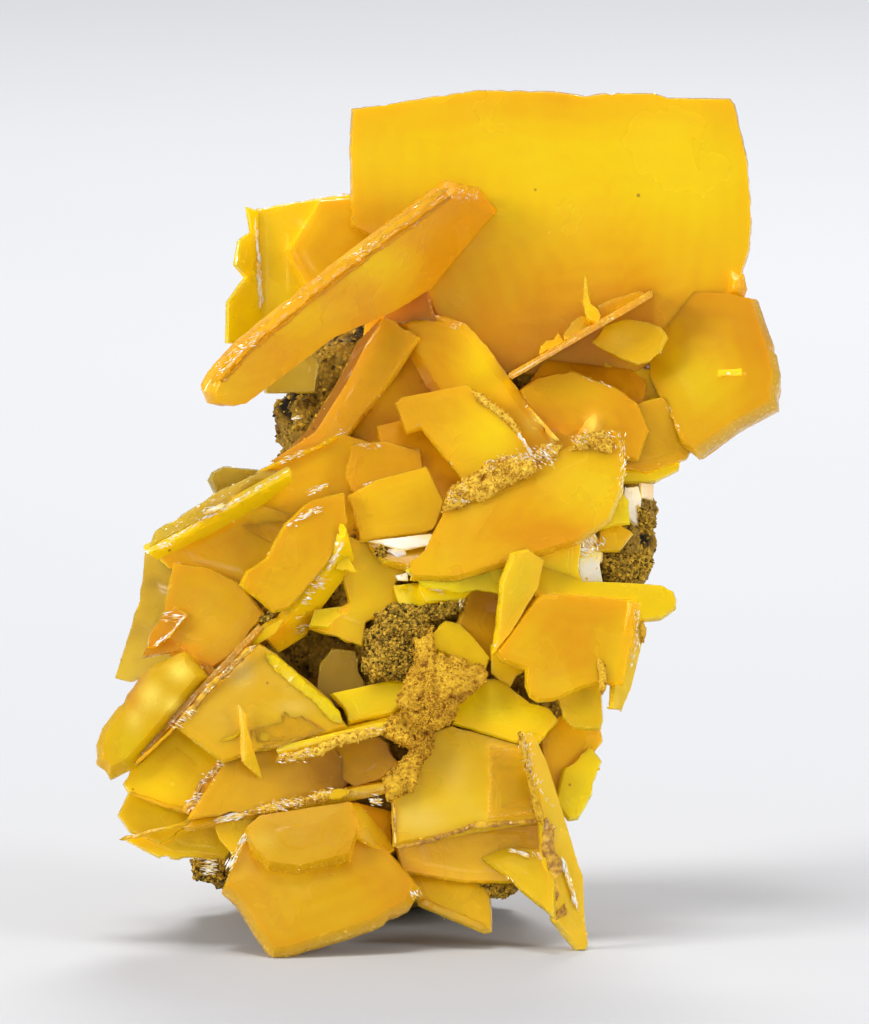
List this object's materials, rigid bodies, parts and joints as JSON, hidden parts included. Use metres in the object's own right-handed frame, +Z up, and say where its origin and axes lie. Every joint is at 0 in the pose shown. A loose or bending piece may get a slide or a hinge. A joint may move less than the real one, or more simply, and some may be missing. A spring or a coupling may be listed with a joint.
{
  "type": "wulfenite crystal specimen",
  "caption": "Cluster of thin square orange-yellow lead molybdate tablets crowded on a lump of porous brown matrix, standing upright on two tablet corners and a flat rear foot.",
  "frame": {"origin": "On the resting surface, under the middle of the specimen's bounding box.", "axes": "+Z is up, +X is to the right when the crystal face is seen from the front, and +Y points back into the rock, so the crystal face looks along -Y."},
  "size_m": [0.0786, 0.0494, 0.0956],
  "materials": {
    "crystal": "Cloudy translucent orange-yellow crystal with a resinous to adamantine gloss, bright on its edges.",
    "crust": "Granular ochre crust, dull, with dark brown pits and small glints.",
    "matrix": "Rough dark brown limonite-like rock with golden drusy grains."
  },
  "bodies": {
    "root": {"long_blade": "crystal", "top_plate": "crystal", "right_plate": "crystal", "centre_plate": "crystal", "bottom_plate": "crystal", "right_fan_plates": "crystal", "spike_plates": "crystal", "frosted_plate": "crystal", "left_block": "crystal", "white_plate": "crystal", "roof_plate": "crystal", "knee_plate": "crystal", "comb_blade": "crystal", "crest_blade": "crystal", "square_plate": "crystal", "pointed_plate": "crystal", "leaning_plate": "crystal", "arched_plate": "crystal", "thin_shelf": "crystal", "leaf_tablet": "crystal", "saddle_plates": "crystal", "hook_plates": "crystal", "upper_left_plates": "crystal", "left_edge_blade": "crystal", "pale_tablet": "crystal", "recess_plate": "crystal", "crest_plate": "crystal", "orange_tablet": "crystal", "nest_plate": "crystal", "back_knob": "crystal", "slope_plate": "crystal", "rust_plate": "crystal", "left_wing": "crystal", "apron_plate": "crystal", "toe_plates": "crystal", "lower_shelf": "crystal", "upper_shelf": "crystal", "niche_plate": "crystal", "amber_plate": "crystal", "under_plate": "crystal", "keel_plate": "crystal", "cheek_plate": "crystal", "fin_plate": "crystal", "heart_plate": "crystal", "lip_plates": "crystal", "facet_plate": "crystal", "umber_plate": "crystal", "dome_plate": "crystal", "olive_tablet": "crystal", "lemon_plate": "crystal", "glint_plates": "crystal", "rear_crown_plates": "crystal", "rear_left_plates": "crystal", "rear_right_plates": "crystal", "rear_low_plates": "crystal", "ochre_crust": "crust", "edge_crust": "crust", "matrix": "matrix"}
  },
  "joints": []
}
